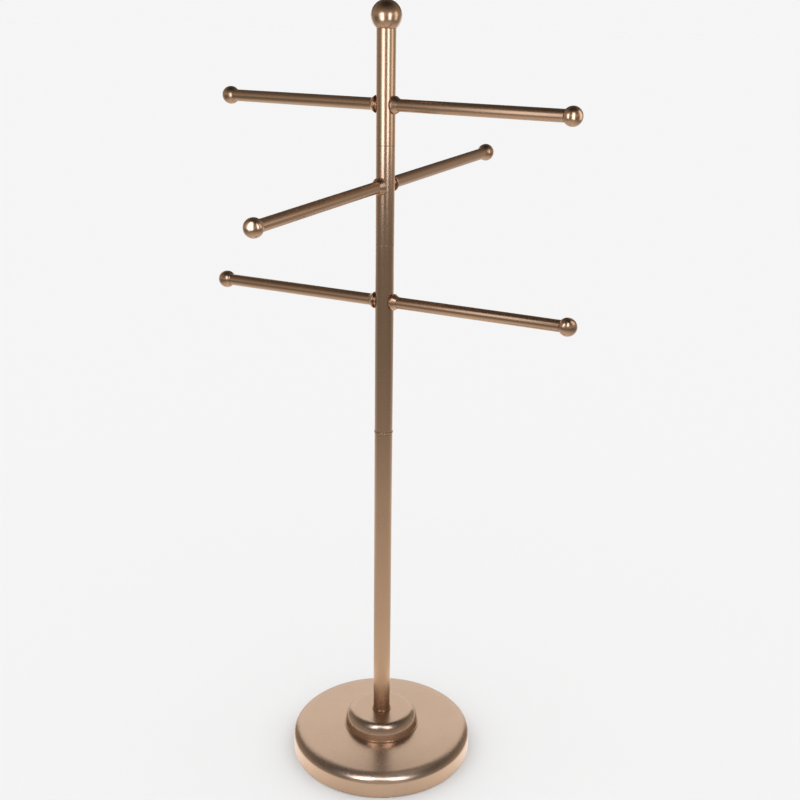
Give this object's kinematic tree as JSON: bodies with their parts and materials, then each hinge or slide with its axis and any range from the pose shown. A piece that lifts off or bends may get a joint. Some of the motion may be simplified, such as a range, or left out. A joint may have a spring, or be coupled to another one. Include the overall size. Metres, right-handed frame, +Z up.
{
  "type": "free-standing rack",
  "caption": "Free-standing rack with ball-ended horizontal arms in opposed pairs that swivel round a post, on a weighted round base.",
  "frame": {"origin": "on the floor, on the post's axis, at the middle of the base's underside", "axes": "+Z up the post; +X along the top pair of arms as stored; +Y completes the right-handed frame"},
  "size_m": [0.61, 0.6084, 1.2148],
  "materials": {
    "satin_bronze": "satin brushed light bronze plate",
    "cast_iron": "as cast",
    "steel": "plain turned",
    "nylon": "natural, matte",
    "pad": "matte foam rubber"
  },
  "bodies": {
    "stand": {"floor_pad": "pad", "base_weight": "cast_iron", "base_cover": "satin_bronze", "base_washer": "steel", "base_bolt": "steel", "hub_spacer": "steel", "hub_cover": "satin_bronze", "foot_ring": "satin_bronze", "lower_post": "satin_bronze", "lower_post_foot_plug": "steel", "lower_post_head_plug": "steel", "joint_ring": "satin_bronze", "core_rod": "steel", "joint_thrust_washer": "nylon", "finial_ball": "satin_bronze", "finial_thrust_washer": "nylon"},
    "bottom_tier": {"bottom_sleeve": "satin_bronze", "bottom_arm_block": "steel", "bottom_lower_bush": "nylon", "bottom_upper_bush": "nylon", "bottom_right_collar": "satin_bronze", "bottom_right_stud": "steel", "bottom_right_arm_tube": "satin_bronze", "bottom_right_arm_ball": "satin_bronze", "bottom_left_collar": "satin_bronze", "bottom_left_stud": "steel", "bottom_left_arm_tube": "satin_bronze", "bottom_left_arm_ball": "satin_bronze", "lower_thrust_washer": "nylon"},
    "middle_tier": {"middle_sleeve": "satin_bronze", "middle_arm_block": "steel", "middle_lower_bush": "nylon", "middle_upper_bush": "nylon", "middle_rear_collar": "satin_bronze", "middle_rear_stud": "steel", "middle_rear_arm_tube": "satin_bronze", "middle_rear_arm_ball": "satin_bronze", "middle_front_collar": "satin_bronze", "middle_front_stud": "steel", "middle_front_arm_tube": "satin_bronze", "middle_front_arm_ball": "satin_bronze", "upper_thrust_washer": "nylon"},
    "top_tier": {"top_sleeve": "satin_bronze", "top_arm_block": "steel", "top_lower_bush": "nylon", "top_upper_bush": "nylon", "top_right_collar": "satin_bronze", "top_right_stud": "steel", "top_right_arm_tube": "satin_bronze", "top_right_arm_ball": "satin_bronze", "top_left_collar": "satin_bronze", "top_left_stud": "steel", "top_left_arm_tube": "satin_bronze", "top_left_arm_ball": "satin_bronze"}
  },
  "joints": [
    {"name": "bottom_tier_swivel", "type": "hinge", "parent": "stand", "child": "bottom_tier", "pos_m": [0, 0, 0.841], "axis": [0, 0, 1], "continuous": true},
    {"name": "middle_tier_swivel", "type": "hinge", "parent": "stand", "child": "middle_tier", "pos_m": [0, 0, 1.021], "axis": [0, 0, 1], "continuous": true},
    {"name": "top_tier_swivel", "type": "hinge", "parent": "stand", "child": "top_tier", "pos_m": [0, 0, 1.1385], "axis": [0, 0, 1], "continuous": true}
  ]
}
